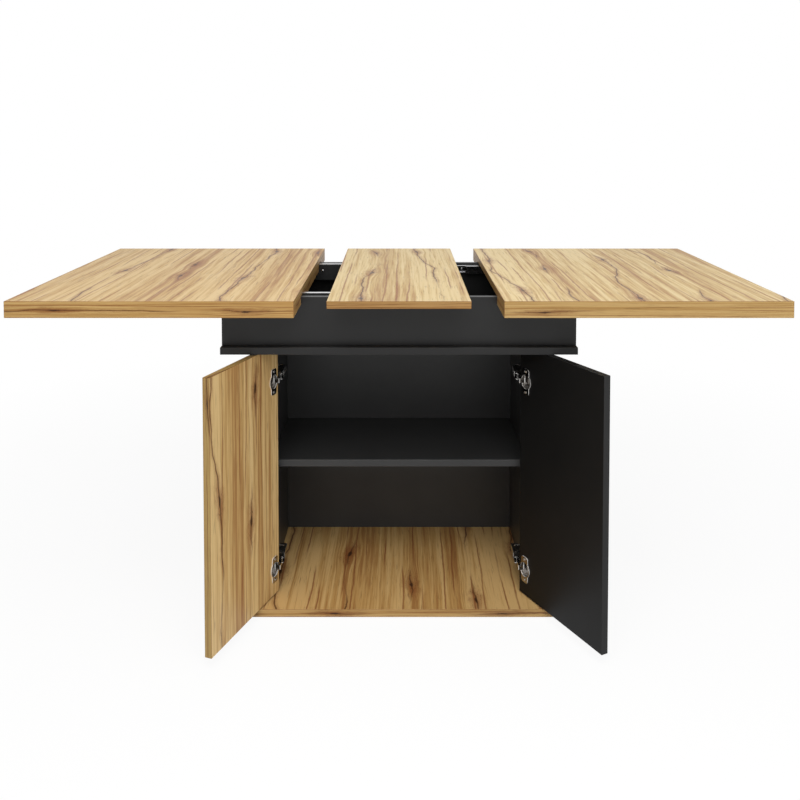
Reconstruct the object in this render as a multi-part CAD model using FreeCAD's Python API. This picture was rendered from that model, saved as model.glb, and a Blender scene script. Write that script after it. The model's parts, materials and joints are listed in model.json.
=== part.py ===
import FreeCAD, Part

import os
from math import cos, radians, sin

# Extending table on a pedestal cabinet, in millimetres. X runs along the table, Y from the front
# (-Y, where the doors are) to the back, and Z up from the floor. The origin is on the floor under
# the middle of the table. The table stands drawn open: both halves are out and both doors are open.

# Table top
tableHeight = 750.0
topDepth = 800.0
halfLength = 600.0
leafLength = 300.0
topBoard = 16.0
edgeStripHeight = 19.0
edgeStripWidth = 60.0
stripWallGap = 2.5           # between the strips of the inner end and the frame box
halfInnerEdge = 218.0        # from the middle to the inner edge of each half, drawn out
boardChamfer = 0.6

# Frame box under the top
frameLength = 790.0
frameDepth = 514.0
frameWall = 16.0
frameHeight = 108.5
frameTopGap = 2.0            # running gap between the walls and the halves above them
notchGap = 3.0               # room round the runners where they pass through the end walls

# Cabinet
cabinetTopBoard = 16.0
cabinetTopLip = 22.0         # how far the top board stands out at the front and back of the frame
cabinetSetIn = 78.5          # cabinet sides in from the ends of the frame box
cabinetDepth = 340.0
cabinetWall = 16.0
backPanel = 3.0
backRabbet = 8.0
basePlate = 18.0
baseLength = 790.0
baseDepth = 514.0
glideHeight = 3.0
glideRadius = 14.0
glideTaper = 1.0
glideInset = 35.0
shelfBoard = 16.0
shelfShare = 0.5133          # height of the shelf's top as a share of the inner height
shelfSetback = 26.0
shelfSideGap = 1.0
shelfPinRadius = 2.5
shelfPinReach = 9.0
shelfPinDepth = 10.0
shelfPinInset = 40.0

# Doors
doorThickness = 16.0
doorSideGap = 2.0
doorMiddleGap = 3.0
doorEndGap = 3.0
doorPivotIn = 1.0            # the turning line, in from the hinge edge
doorPivotOut = 1.0           # and out from the outer face
leftDoorAngle = 110.0
rightDoorAngle = 117.0

# Concealed cup hinges
hingeFromBottom = 60.0
hingeFromTop = 80.5
cupRadius = 17.5
cupDepth = 11.0
cupWall = 1.0
cupFromEdge = 22.5           # cup centre from the hinge edge of the door
cupFit = 0.05
cupRim = 1.0
flangeHeight = 60.0
flangeWidth = 24.0
flangeThickness = 2.0
hingeScrewPitch = 48.0
hingeScrewRadius = 3.4
hingeScrewHead = 1.6
hingeScrewShank = 1.8
linkPinFromEdge = 9.5
linkPinDepth = 5.5
linkNeck = 13.0              # from the pin to the knee of the cranked link
linkReach = 38.0             # and from the knee to its tip
linkCrank = 110.0
linkThickness = 2.6
linkEyeRadius = 2.2
linkWidth = 10.6
linkPinRadius = 1.3
linkPinFit = 0.05
linkShutTurn = 10.0          # how far the link turns in the cabinet while the door shuts
armLength = 72.0
armWidth = 15.0
armRise = 17.0               # height of the arm's channel
armSheet = 1.5
armNoseSetback = 2.5         # arm nose behind the closed door's inner face
armScrewRadius = 2.4
armScrewProud = 0.6
armScrewPlaces = (0.47, 0.82)
armSlotLength = 26.0         # slot at the arm's nose, through which the link swings
armSlotGap = 0.5
plateSetback = 22.0          # mounting plate behind the arm's nose
plateThickness = 10.0
plateLength = 42.0
plateWidth = 13.0
plateWing = 12.0
plateWingHeight = 46.0
plateScrewPitch = 32.0

# Telescopic slides: two facing channels with a ball runner between them
slideHeight = 22.0
slideDrop = 18.5             # middle of the slides below the underside of the halves
channelDepth = 10.0
channelSheet = 1.2
channelLip = 3.0
channelGap = 1.0
channelBend = 0.9
ballSpace = 2.6              # height of a race between channel and runner
cageWidth = 5.0
cageFit = 0.05
cageInset = 60.0             # cage ends in from the runner's ends
runnerInset = 2.0
runnerLength = 330.0
runnerSetback = 6.0          # runner behind the inner end of the moving member
fixedEndGap = 3.0
slideSplitX = -30.0          # the right fixed members reach past the middle to here
slideSplitGap = 4.0
movingAhead = 34.0           # the right moving members run on past the half's inner edge
leftMovingBehind = 38.0      # and the left ones end short of it
movingEndGap = 10.0
slideScrewRadius = 3.0
slideScrewHead = 0.8
slideScrewCount = 3

# Bearers that carry the halves on the slides
bearerThickness = 16.0
bearerHeight = 43.0
bearerFromOuterEnd = 218.0
tongueLength = 70.0          # the left bearers run on past the inner edge of their half
tongueRelease = 5.0
glideStripWidth = 12.0
glideStripThickness = 1.5
leafClearance = 0.3
bearerScrewRadius = 3.5
bearerScrewHead = 1.4
bearerScrewCount = 3
bearerScrewInset = 60.0      # first and last screw in from the bearer's ends

# Leaf pads
padWidth = 12.0
padLength = 40.0
padFromEnd = 35.0

# Derived places
halfOuterEdge = halfInnerEdge + halfLength
topUnderside = tableHeight - topBoard
stripUnderside = topUnderside - edgeStripHeight
wallTopZ = topUnderside - frameTopGap
cabinetTopZ = wallTopZ - frameHeight
wallInnerY = frameDepth / 2 - frameWall
cabinetTopUnderZ = cabinetTopZ - cabinetTopBoard
baseTopZ = glideHeight + basePlate
shelfTopZ = baseTopZ + shelfShare * (cabinetTopUnderZ - baseTopZ)
cabinetWidth = frameLength - 2 * cabinetSetIn
carcassInnerX = cabinetWidth / 2 - cabinetWall
carcassFrontY = -cabinetDepth / 2
doorInnerY = carcassFrontY + doorThickness
hingeEdgeX = carcassInnerX - doorSideGap
pivotX = hingeEdgeX - doorPivotIn
pivotY = carcassFrontY - doorPivotOut
slidePack = 2 * channelDepth + channelGap
slideCentreZ = topUnderside - slideDrop
fixedEnd = frameLength / 2 - frameWall - fixedEndGap
bearerEnd = halfOuterEdge - bearerFromOuterEnd
movingEnd = bearerEnd - movingEndGap
bearerOuterY = wallInnerY - slidePack
bearerInnerY = bearerOuterY - bearerThickness
zAxis = FreeCAD.Vector(0, 0, 1)
xAxis = FreeCAD.Vector(1, 0, 0)


def vec(x, y, z):
    return FreeCAD.Vector(x, y, z)


def block(x0, x1, y0, y1, z0, z1):
    """A box between two opposite corners."""
    return Part.makeBox(x1 - x0, y1 - y0, z1 - z0, vec(x0, y0, z0))


def board(x0, x1, y0, y1, z0, z1):
    """An edge-banded board: a box with all its edges trimmed off."""
    panel = block(x0, x1, y0, y1, z0, z1)
    return panel.makeChamfer(boardChamfer, panel.Edges)


def mirrorX(shape):
    return shape.mirror(vec(0, 0, 0), xAxis)


def mirrorY(shape):
    return shape.mirror(vec(0, 0, 0), vec(0, 1, 0))


def fixedSide(shape, side):
    """A right-hand shape, or its mirror image for the left."""
    return shape if side == "right" else mirrorX(shape)


def frontAndBack(shape):
    """A solid made for the back wall, and its twin for the front wall."""
    return [shape, mirrorY(shape)]


def group(shapes):
    solids = []
    for shape in shapes:
        solids.extend(shape.Solids)
    return Part.makeCompound(solids)


def save(name, shape):
    shape.exportStep(os.path.join("parts", name + ".step"))


# ---- table top ----

def halfBlank():
    """The right half in its full thickness, before it is parted into board and strips."""
    return board(halfInnerEdge, halfOuterEdge, -topDepth / 2, topDepth / 2,
                 stripUnderside, tableHeight)


def halfBoard():
    return halfBlank().common(block(halfInnerEdge, halfOuterEdge, -topDepth / 2, topDepth / 2,
                                    topUnderside, tableHeight))


def stripPiece(x0, x1, y0, y1):
    """A strip under the board, with the half's trimmed edges where it reaches them."""
    return halfBlank().common(block(x0, x1, y0, y1, stripUnderside, topUnderside))


def edgeStrips():
    """Strips under the right half that make its edges look thick."""
    inside = topDepth / 2 - edgeStripWidth
    innerEnd = halfInnerEdge + edgeStripWidth
    frameSide = frameDepth / 2 + stripWallGap
    back = stripPiece(halfInnerEdge, halfOuterEdge, inside, topDepth / 2)
    corner = stripPiece(halfInnerEdge, innerEnd, frameSide, inside)
    outerEnd = stripPiece(halfOuterEdge - edgeStripWidth, halfOuterEdge, -inside, inside)
    return frontAndBack(back) + frontAndBack(corner) + [outerEnd]


def bearersStrip():
    """The strip at the inner end between the bearers, which only the left half has."""
    reach = bearerInnerY - stripWallGap
    return stripPiece(halfInnerEdge, halfInnerEdge + edgeStripWidth, -reach, reach)


def extensionLeaf():
    half = leafLength / 2
    return board(-half, half, -topDepth / 2, topDepth / 2, topUnderside, tableHeight)


def leafPads():
    """Felt pads on which the leaf lies on the walls of the frame box."""
    middleY = frameDepth / 2 - frameWall / 2
    pads = []
    for side in (-1, 1):
        middleX = side * (leafLength / 2 - padFromEnd)
        pads += frontAndBack(block(middleX - padLength / 2, middleX + padLength / 2,
                                   middleY - padWidth / 2, middleY + padWidth / 2,
                                   wallTopZ, topUnderside))
    return group(pads)


def bearer(start):
    """A wooden bearer under a half, beside the slide on the back wall."""
    return block(start, bearerEnd, bearerInnerY, bearerOuterY,
                 topUnderside - bearerHeight, topUnderside)


def rightBearers():
    start = halfInnerEdge + tongueLength + tongueRelease
    return group(frontAndBack(bearer(start)))


def tongueRelief():
    """What is cut off the top of a tongue, so that it passes under the leaf."""
    drop = leafClearance + glideStripThickness
    return block(halfInnerEdge - tongueLength, halfInnerEdge, bearerInnerY, bearerOuterY,
                 topUnderside - drop, topUnderside)


def leftBearers():
    body = bearer(halfInnerEdge - tongueLength).cut(tongueRelief())
    return mirrorX(group(frontAndBack(body)))


def tongueGlideStrips():
    """Bright strips on the tongues of the left bearers, on which the leaf is lined up."""
    high = topUnderside - leafClearance
    middleY = (bearerInnerY + bearerOuterY) / 2
    strip = block(halfInnerEdge - tongueLength, halfInnerEdge - leafClearance,
                  middleY - glideStripWidth / 2, middleY + glideStripWidth / 2,
                  high - glideStripThickness, high)
    return mirrorX(group(frontAndBack(strip)))


def bearerScrews(start):
    """Cup heads on the inner face of a bearer, of the screws that hold the slide to it."""
    heads = []
    pitch = (bearerEnd - start - 2 * bearerScrewInset) / (bearerScrewCount - 1)
    for index in range(bearerScrewCount):
        x = start + bearerScrewInset + index * pitch
        head = Part.makeCone(bearerScrewRadius, bearerScrewRadius - bearerScrewHead / 2,
                             bearerScrewHead, vec(x, bearerInnerY, slideCentreZ), vec(0, -1, 0))
        heads += frontAndBack(head)
    return group(heads)


# ---- frame box ----

def frameLongWall():
    """The back wall of the frame box; the front wall is its mirror image."""
    half = frameLength / 2
    return board(-half, half, wallInnerY, frameDepth / 2, cabinetTopZ, wallTopZ)


def frameEnd():
    """The right end wall, cut away at its upper corners where bearers and slides pass."""
    half = frameLength / 2
    wall = block(half - frameWall, half, -wallInnerY, wallInnerY, cabinetTopZ, wallTopZ)
    notchFloor = topUnderside - bearerHeight - notchGap
    notch = block(half - frameWall, half, bearerInnerY - notchGap, wallInnerY,
                  notchFloor, wallTopZ)
    return wall.cut(Part.makeCompound(frontAndBack(notch)))


def cornerBlocks():
    """Glue blocks in the lower corners of the frame box."""
    size = 2 * frameWall
    corner = frameLength / 2 - frameWall
    prism = Part.makePolygon([vec(corner, wallInnerY, cabinetTopZ),
                              vec(corner - size, wallInnerY, cabinetTopZ),
                              vec(corner, wallInnerY - size, cabinetTopZ),
                              vec(corner, wallInnerY, cabinetTopZ)])
    piece = Part.Face(prism).extrude(vec(0, 0, 2 * size))
    pair = frontAndBack(piece)
    return group(pair + [mirrorX(item) for item in pair])


# ---- telescopic slides, drawn for the back wall on the right ----

def channelProfile(wallY, turn):
    """A rolled channel's section in the YZ plane, its web at wallY and its mouth towards -turn."""
    high = slideHeight / 2
    sheet = channelSheet
    outline = [(0, -high), (channelDepth, -high), (channelDepth, channelLip - high),
               (channelDepth - sheet, channelLip - high), (channelDepth - sheet, sheet - high),
               (sheet, sheet - high), (sheet, high - sheet), (channelDepth - sheet, high - sheet),
               (channelDepth - sheet, high - channelLip), (channelDepth, high - channelLip),
               (channelDepth, high), (0, high), (0, -high)]
    return [vec(0, wallY - turn * reach, slideCentreZ + rise) for reach, rise in outline]


def channel(start, end, wallY, turn):
    """A channel along X with its four outer corners bent round."""
    face = Part.Face(Part.makePolygon(channelProfile(wallY, turn)))
    body = face.extrude(vec(end - start, 0, 0))
    body.translate(vec(start, 0, 0))
    box = body.BoundBox
    bends = []
    for edge in body.Edges:
        span = edge.BoundBox
        along = span.XLength > (end - start) / 2
        atY = min(abs(span.YMin - box.YMin), abs(span.YMin - box.YMax)) < 0.01
        atZ = min(abs(span.ZMin - box.ZMin), abs(span.ZMin - box.ZMax)) < 0.01
        if along and atY and atZ:
            bends.append(edge)
    return body.makeFillet(channelBend, bends)


def runnerHalfHeight():
    return slideHeight / 2 - channelSheet - ballSpace


def runner(start):
    """The bar that runs on balls in both channels, waisted between its two races."""
    high = runnerHalfHeight()
    body = block(start, start + runnerLength, wallInnerY - slidePack + runnerInset,
                 wallInnerY - runnerInset, slideCentreZ - high, slideCentreZ + high)
    middle = wallInnerY - slidePack / 2
    for side in (-1, 1):
        groove = Part.makeCylinder(high / 2, runnerLength,
                                   vec(start, middle, slideCentreZ + side * high), xAxis)
        body = body.cut(groove)
    return body


def ballCages(start):
    """The ball strips above and below the runner, one pair in each channel."""
    strips = []
    high = runnerHalfHeight()
    for depth in (channelDepth / 2, slidePack - channelDepth / 2):
        y = wallInnerY - depth
        for low in (slideCentreZ + high, slideCentreZ - high - ballSpace):
            strips.append(block(start + cageInset, start + runnerLength - cageInset,
                                y - cageWidth / 2, y + cageWidth / 2,
                                low + cageFit, low + ballSpace - cageFit))
    return strips


def slideScrews(start):
    """Flat-headed screws that hold a fixed member to the back wall."""
    screws = []
    for index in range(slideScrewCount):
        x = start + (fixedEnd - start) * (index + 0.5) / slideScrewCount
        place = vec(x, wallInnerY - channelSheet, slideCentreZ)
        screws.append(Part.makeCylinder(slideScrewRadius, slideScrewHead, place,
                                        vec(0, -1, 0)))
    return screws


def slideSet(fixedStart, movingStart):
    """All pieces of one slide on the back wall at the right, by name."""
    runnerStart = movingStart + runnerSetback
    return {"slide_fixed_members": [channel(fixedStart, fixedEnd, wallInnerY, 1)],
            "slide_moving_members": [channel(movingStart, movingEnd, bearerOuterY, -1)],
            "slide_runners": [runner(runnerStart)], "slide_ball_cages": ballCages(runnerStart),
            "slide_screws": slideScrews(fixedStart)}


def slidesOfSide(side, pieces):
    """The front and back slides of one side, grouped by kind."""
    made = {}
    for kind, shapes in pieces.items():
        both = []
        for shape in shapes:
            both += frontAndBack(shape)
        made[kind] = fixedSide(group(both), side)
    return made


# ---- cabinet ----

def cabinetTop():
    half = frameLength / 2
    reach = frameDepth / 2 + cabinetTopLip
    return board(-half, half, -reach, reach, cabinetTopUnderZ, cabinetTopZ)


def sidePanel():
    """The right side panel, rabbeted for the back panel and drilled for the shelf pins."""
    outer = cabinetWidth / 2
    rear = cabinetDepth / 2
    panel = block(carcassInnerX, outer, carcassFrontY, rear, baseTopZ, cabinetTopUnderZ)
    rabbet = block(carcassInnerX, carcassInnerX + backRabbet, rear - backPanel, rear,
                   baseTopZ, cabinetTopUnderZ)
    panel = panel.cut(rabbet)
    for place in pinPlaces():
        hole = Part.makeCylinder(shelfPinRadius, shelfPinDepth, place, xAxis)
        panel = panel.cut(hole)
    return panel


def pinPlaces():
    """Where the right-hand shelf pins leave the side panel."""
    z = shelfTopZ - shelfBoard - shelfPinRadius
    front = carcassFrontY + shelfSetback + shelfPinInset
    rear = cabinetDepth / 2 - backPanel - shelfPinInset
    return [vec(carcassInnerX, front, z), vec(carcassInnerX, rear, z)]


def shelfPins():
    pins = []
    for place in pinPlaces():
        start = place - xAxis * shelfPinReach
        pins.append(Part.makeCylinder(shelfPinRadius, shelfPinReach + shelfPinDepth,
                                      start, xAxis))
    return group(pins + [mirrorX(pin) for pin in pins])


def shelf():
    half = carcassInnerX - shelfSideGap
    return board(-half, half, carcassFrontY + shelfSetback, cabinetDepth / 2 - backPanel,
                 shelfTopZ - shelfBoard, shelfTopZ)


def back():
    half = carcassInnerX + backRabbet
    return block(-half, half, cabinetDepth / 2 - backPanel, cabinetDepth / 2,
                 baseTopZ, cabinetTopUnderZ)


def base():
    return board(-baseLength / 2, baseLength / 2, -baseDepth / 2, baseDepth / 2,
                 glideHeight, baseTopZ)


def baseGlides():
    """Plastic glides at the corners and along the middle of the base plate."""
    x = baseLength / 2 - glideInset
    y = baseDepth / 2 - glideInset
    places = [(-x, -y), (0, -y), (x, -y), (0, 0), (-x, y), (0, y), (x, y)]
    made = []
    for px, py in places:
        made.append(Part.makeCone(glideRadius - glideTaper, glideRadius, glideHeight, vec(px, py, 0)))
    return group(made)


# ---- doors and hinges, drawn for the right door while it is shut ----

def hingeHeights():
    return (baseTopZ + doorEndGap + hingeFromBottom,
            cabinetTopUnderZ - doorEndGap - hingeFromTop)


def cupCentreX():
    return hingeEdgeX - cupFromEdge


def door():
    """The right door, with a blind bore for each hinge cup."""
    panel = board(doorMiddleGap / 2, hingeEdgeX, carcassFrontY, doorInnerY,
                  baseTopZ + doorEndGap, cabinetTopUnderZ - doorEndGap)
    for z in hingeHeights():
        panel = panel.cut(Part.makeCylinder(cupRadius + cupFit, cupDepth + cupFit,
                                            vec(cupCentreX(), doorInnerY, z), vec(0, -1, 0)))
    return panel


def hingeCup(z):
    """A pressed cup with its flange, open towards the cabinet."""
    outer = Part.makeCylinder(cupRadius, cupDepth, vec(cupCentreX(), doorInnerY, z),
                              vec(0, -1, 0))
    x0 = cupCentreX() - flangeWidth / 2
    flange = block(x0, x0 + flangeWidth, doorInnerY, doorInnerY + flangeThickness,
                   z - flangeHeight / 2, z + flangeHeight / 2)
    corners = [edge for edge in flange.Edges if edge.BoundBox.YLength > flangeThickness / 2
               and edge.BoundBox.ZLength < flangeThickness]
    flange = flange.makeFillet(flangeWidth / 4, corners)
    rim = Part.makeCylinder(cupRadius + cupRim, flangeThickness,
                            vec(cupCentreX(), doorInnerY, z), vec(0, 1, 0))
    hollow = Part.makeCylinder(cupRadius - cupWall, cupDepth - cupWall + flangeThickness,
                               vec(cupCentreX(), doorInnerY + flangeThickness, z),
                               vec(0, -1, 0))
    cup = outer.fuse([flange, rim]).cut(hollow).removeSplitter()
    return cup.fuse(linkPin(z))


def linkPin(z):
    """The pin in the cup on which the link turns, let into the cup's wall at both ends."""
    x = hingeEdgeX - linkPinFromEdge
    offset = cupFromEdge - linkPinFromEdge + linkPinRadius
    reach = (cupRadius ** 2 - offset ** 2) ** 0.5 - cupFit
    return Part.makeCylinder(linkPinRadius, 2 * reach,
                             vec(x, doorInnerY - linkPinDepth, z - reach), zAxis)


def hingeScrews():
    """Heads of the screws that hold the cup flanges to the door."""
    made = []
    for z in hingeHeights():
        for pitch in (-1, 1):
            height = z + pitch * hingeScrewPitch / 2
            place = vec(cupCentreX(), doorInnerY + flangeThickness, height)
            made.append(Part.makeCone(hingeScrewRadius, hingeScrewShank, hingeScrewHead,
                                      place, vec(0, 1, 0)))
    return made


def hingeLink(z):
    """The cranked link in the shut door, from its eye on the pin through the knee to its tip."""
    pin = vec(hingeEdgeX - linkPinFromEdge, doorInnerY - linkPinDepth, z)
    neckTurn = radians(180.0 + linkCrank - 90.0 - linkShutTurn)
    reachTurn = radians(90.0 - linkShutTurn)
    knee = pin + vec(cos(neckTurn), sin(neckTurn), 0) * linkNeck
    tip = knee + vec(cos(reachTurn), sin(reachTurn), 0) * linkReach
    parts = [linkBar(pin, knee), linkBar(knee, tip), linkEye(pin, linkEyeRadius)]
    body = parts[0].fuse(parts[1:]).removeSplitter()
    return body.cut(linkEye(pin, linkPinRadius + linkPinFit))


def linkEye(centre, radius):
    low = centre - zAxis * (linkWidth / 2)
    return Part.makeCylinder(radius, linkWidth, low, zAxis)


def linkBar(start, end):
    """A flat bar with round ends between two points of the link."""
    way = (end - start).normalize()
    side = way.cross(zAxis) * (linkThickness / 2)
    low = zAxis * (-linkWidth / 2)
    corners = [start + side + low, end + side + low, end - side + low, start - side + low]
    slab = Part.Face(Part.makePolygon(corners + corners[:1])).extrude(vec(0, 0, linkWidth))
    ends = [linkEye(start, linkThickness / 2), linkEye(end, linkThickness / 2)]
    return slab.fuse(ends)


def armBaseX():
    return carcassInnerX - plateThickness


def armFrontY():
    return doorInnerY + armNoseSetback


def hingeArm(z):
    """The channel-shaped arm over the mounting plate, slotted at its nose for the link."""
    base = armBaseX()
    top = base - armRise
    front = armFrontY()
    rear = front + armLength
    half = armWidth / 2
    shell = block(top, base, front, rear, z - half, z + half)
    rounded = [edge for edge in shell.Edges
               if edge.BoundBox.YLength > armLength / 2 and edge.BoundBox.XMax < base - armSheet]
    shell = shell.makeFillet(2 * armSheet, rounded)
    room = block(top + armSheet, base, front, rear, z - half + armSheet, z + half - armSheet)
    slotHalf = linkWidth / 2 + armSlotGap
    slot = block(top, top + armSheet, front, front + armSlotLength, z - slotHalf, z + slotHalf)
    return shell.cut([room, slot] + armScrews(z))


def armScrews(z):
    """The two adjusting screws of an arm, which stand on the plate."""
    head = armBaseX() - armRise - armScrewProud
    return [Part.makeCylinder(armScrewRadius, armRise + armScrewProud,
                              vec(head, armFrontY() + armLength * share, z), xAxis)
            for share in armScrewPlaces]


def plateMiddleY():
    return armFrontY() + plateSetback + plateLength / 2


def hingePlate(z):
    """The cross-shaped mounting plate on the side panel."""
    base = carcassInnerX
    middle = plateMiddleY()
    bar = block(armBaseX(), base, middle - plateLength / 2, middle + plateLength / 2,
                z - plateWidth / 2, z + plateWidth / 2)
    wing = block(base - plateThickness / 2, base, middle - plateWing / 2, middle + plateWing / 2,
                 z - plateWingHeight / 2, z + plateWingHeight / 2)
    ends = [edge for edge in wing.Edges
            if edge.BoundBox.XLength > plateThickness / 4 and edge.BoundBox.ZLength < plateWing / 4]
    ends = [edge for edge in ends if edge.BoundBox.YLength < plateWing / 4]
    wing = wing.makeFillet(plateWing / 3, ends)
    return bar.fuse(wing).removeSplitter()


def plateScrews(z):
    """Pan-headed screws in the wings of a mounting plate."""
    made = []
    for pitch in (-1, 1):
        place = vec(carcassInnerX - plateThickness / 2, plateMiddleY(),
                    z + pitch * plateScrewPitch / 2)
        made.append(Part.makeCone(hingeScrewRadius, hingeScrewShank, hingeScrewHead,
                                  place, vec(-1, 0, 0)))
    return made


def opened(shape, side):
    """A right-hand solid of the shut door, swung open on its side of the cabinet."""
    angle = rightDoorAngle if side == "right" else leftDoorAngle
    turned = shape.copy()
    turned.rotate(vec(pivotX, pivotY, 0), zAxis, angle)
    return turned if side == "right" else mirrorX(turned)


def linkOpened(shape, side):
    """A link of the shut door, with its reach pointing straight back when the door is open."""
    angle = rightDoorAngle if side == "right" else leftDoorAngle
    turned = shape.copy()
    turned.rotate(vec(hingeEdgeX - linkPinFromEdge, doorInnerY - linkPinDepth, 0), zAxis,
                  linkShutTurn - angle)
    return opened(turned, side)


def buildTop():
    save("right_half_board", halfBoard())
    save("left_half_board", mirrorX(halfBoard()))
    save("right_edge_strips", group(edgeStrips()))
    save("left_edge_strips", mirrorX(group(edgeStrips() + [bearersStrip()])))
    save("extension_leaf", extensionLeaf())
    save("leaf_felt_pads", leafPads())
    save("right_bearers", rightBearers())
    save("left_bearers", leftBearers())
    save("tongue_glide_strips", tongueGlideStrips())
    save("right_bearer_screws",
         bearerScrews(halfInnerEdge + tongueLength + tongueRelease))
    save("left_bearer_screws", mirrorX(bearerScrews(halfInnerEdge - tongueLength)))


def buildFrame():
    save("frame_back_wall", frameLongWall())
    save("frame_front_wall", mirrorY(frameLongWall()))
    save("frame_right_end", frameEnd())
    save("frame_left_end", mirrorX(frameEnd()))
    save("frame_corner_blocks", cornerBlocks())


def buildSlides():
    sets = {"right": slideSet(slideSplitX, halfInnerEdge - movingAhead),
            "left": slideSet(slideSplitGap - slideSplitX, halfInnerEdge + leftMovingBehind)}
    for side, pieces in sets.items():
        for kind, shape in slidesOfSide(side, pieces).items():
            save(side + "_" + kind, shape)


def buildCabinet():
    save("cabinet_top_board", cabinetTop())
    save("right_side_panel", sidePanel())
    save("left_side_panel", mirrorX(sidePanel()))
    save("back_panel", back())
    save("shelf", shelf())
    save("shelf_pins", shelfPins())
    save("base_plate", base())
    save("base_glides", baseGlides())


def buildDoors():
    for side in ("left", "right"):
        heights = hingeHeights()
        save(side + "_door", opened(door(), side))
        save(side + "_hinge_cups", group([opened(hingeCup(z), side) for z in heights]))
        save(side + "_hinge_screws", group([opened(item, side) for item in hingeScrews()]))
        save(side + "_hinge_links", group([linkOpened(hingeLink(z), side) for z in heights]))
        save(side + "_hinge_arms", group([fixedSide(hingeArm(z), side) for z in heights]))
        save(side + "_hinge_plates", group([fixedSide(hingePlate(z), side) for z in heights]))
        fixings = []
        for z in heights:
            fixings += armScrews(z) + plateScrews(z)
        save(side + "_hinge_fixings", group([fixedSide(item, side) for item in fixings]))


os.makedirs("parts", exist_ok=True)
buildTop()
buildFrame()
buildSlides()
buildCabinet()
buildDoors()
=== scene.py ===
import json
import math

import bmesh
import bpy
import numpy
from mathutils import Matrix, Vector


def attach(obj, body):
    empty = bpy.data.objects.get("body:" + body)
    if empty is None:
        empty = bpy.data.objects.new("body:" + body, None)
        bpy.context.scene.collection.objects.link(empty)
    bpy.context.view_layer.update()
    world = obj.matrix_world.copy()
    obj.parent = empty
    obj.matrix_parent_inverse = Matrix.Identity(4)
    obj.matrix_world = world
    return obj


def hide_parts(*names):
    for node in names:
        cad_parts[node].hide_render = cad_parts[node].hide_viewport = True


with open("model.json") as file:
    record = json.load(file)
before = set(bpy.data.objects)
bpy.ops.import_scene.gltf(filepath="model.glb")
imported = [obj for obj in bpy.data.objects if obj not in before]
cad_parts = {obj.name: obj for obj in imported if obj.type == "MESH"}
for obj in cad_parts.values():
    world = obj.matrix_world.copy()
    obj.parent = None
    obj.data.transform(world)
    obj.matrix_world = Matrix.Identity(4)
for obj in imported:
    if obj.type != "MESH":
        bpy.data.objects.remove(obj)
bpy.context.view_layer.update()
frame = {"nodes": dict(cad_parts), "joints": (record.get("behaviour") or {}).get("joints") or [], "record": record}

nodes = frame["nodes"]
joints = {joint["name"]: joint for joint in frame["joints"]}
print("frame loaded:", len(nodes), "nodes")


# camera

viewpoint = {
    "place": (0.0, -2.289, 1.119),  # metres, in front of the doors
    "tilt": 2.57,  # degrees below level
    "lens": 41.43,  # millimetres, as is the sensor
    "sensor": 36.0,
    "shift": (0.00125, -0.295),
    "clip": (0.05, 60.0),
}


def makeCamera():
    data = bpy.data.cameras.new("camera")
    data.lens = viewpoint["lens"]
    data.sensor_width = viewpoint["sensor"]
    data.shift_x, data.shift_y = viewpoint["shift"]
    data.clip_start, data.clip_end = viewpoint["clip"]
    camera = bpy.data.objects.new("camera", data)
    camera.location = viewpoint["place"]
    camera.rotation_euler = (math.radians(90.0 - viewpoint["tilt"]), 0.0, 0.0)
    bpy.context.scene.collection.objects.link(camera)
    bpy.context.scene.camera = camera


makeCamera()
print("camera placed")


# small helpers for node trees

def feed(tree, socket, value):  # value is another socket or a constant
    if isinstance(value, bpy.types.NodeSocket):
        tree.links.new(value, socket)
    else:
        socket.default_value = value


def addNode(tree, kind, settings=None, inputs=None):
    node = tree.nodes.new(kind)
    for name, value in (settings or {}).items():
        setattr(node, name, value)
    for name, value in (inputs or {}).items():
        feed(tree, node.inputs[name], value)
    return node


def calc(tree, operation, *values, kind="ShaderNodeMath"):
    node = addNode(tree, kind, {"operation": operation})
    for socket, value in zip(node.inputs, values):
        feed(tree, socket, value)
    return node.outputs[0]


def vectorCalc(tree, operation, *values):
    return calc(tree, operation, *values, kind="ShaderNodeVectorMath")


def times(tree, first, second):
    return calc(tree, "MULTIPLY", first, second)


def centred(tree, value):  # moves 0 to 1 so that it lies about zero
    return calc(tree, "SUBTRACT", value, 0.5)


def axesOf(tree, vector):  # the outputs X, Y and Z
    return addNode(tree, "ShaderNodeSeparateXYZ", None, {0: vector}).outputs


def trio(tree, x=0.0, y=0.0, z=0.0):
    return addNode(tree, "ShaderNodeCombineXYZ", None, {"X": x, "Y": y, "Z": z}).outputs[0]


def noise(tree, vector, detail, roughness=0.5):
    made = addNode(tree, "ShaderNodeTexNoise", None, {
        "Vector": vector, "Scale": 1.0, "Detail": detail, "Roughness": roughness})
    return made.outputs["Fac"]


def fade(tree, value, start, end, low=0.0, high=1.0):  # smooth step from low at start to high at end
    made = addNode(tree, "ShaderNodeMapRange", {"interpolation_type": "SMOOTHSTEP"}, {
        "Value": value, "From Min": start, "From Max": end, "To Min": low, "To Max": high})
    return made.outputs["Result"]


def mixed(tree, share, first, second, blend="MIX"):  # sockets 6 and 7 hold the colours
    made = addNode(tree, "ShaderNodeMix", {"data_type": "RGBA", "blend_type": blend}, {
        0: share, 6: first, 7: second})
    return made.outputs[2]


def mixedVector(tree, share, first, second):  # sockets 4 and 5 hold the vectors
    made = addNode(tree, "ShaderNodeMix", {"data_type": "VECTOR"}, {0: share, 4: first, 5: second})
    return made.outputs[1]


def tinted(tree, colour, tint):
    return mixed(tree, 1.0, colour, tint, "MULTIPLY")


def opaque(colour, lift=1.0):  # red, green and blue made brighter by lift, with full cover
    return tuple(part * lift for part in colour) + (1.0,)


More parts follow.
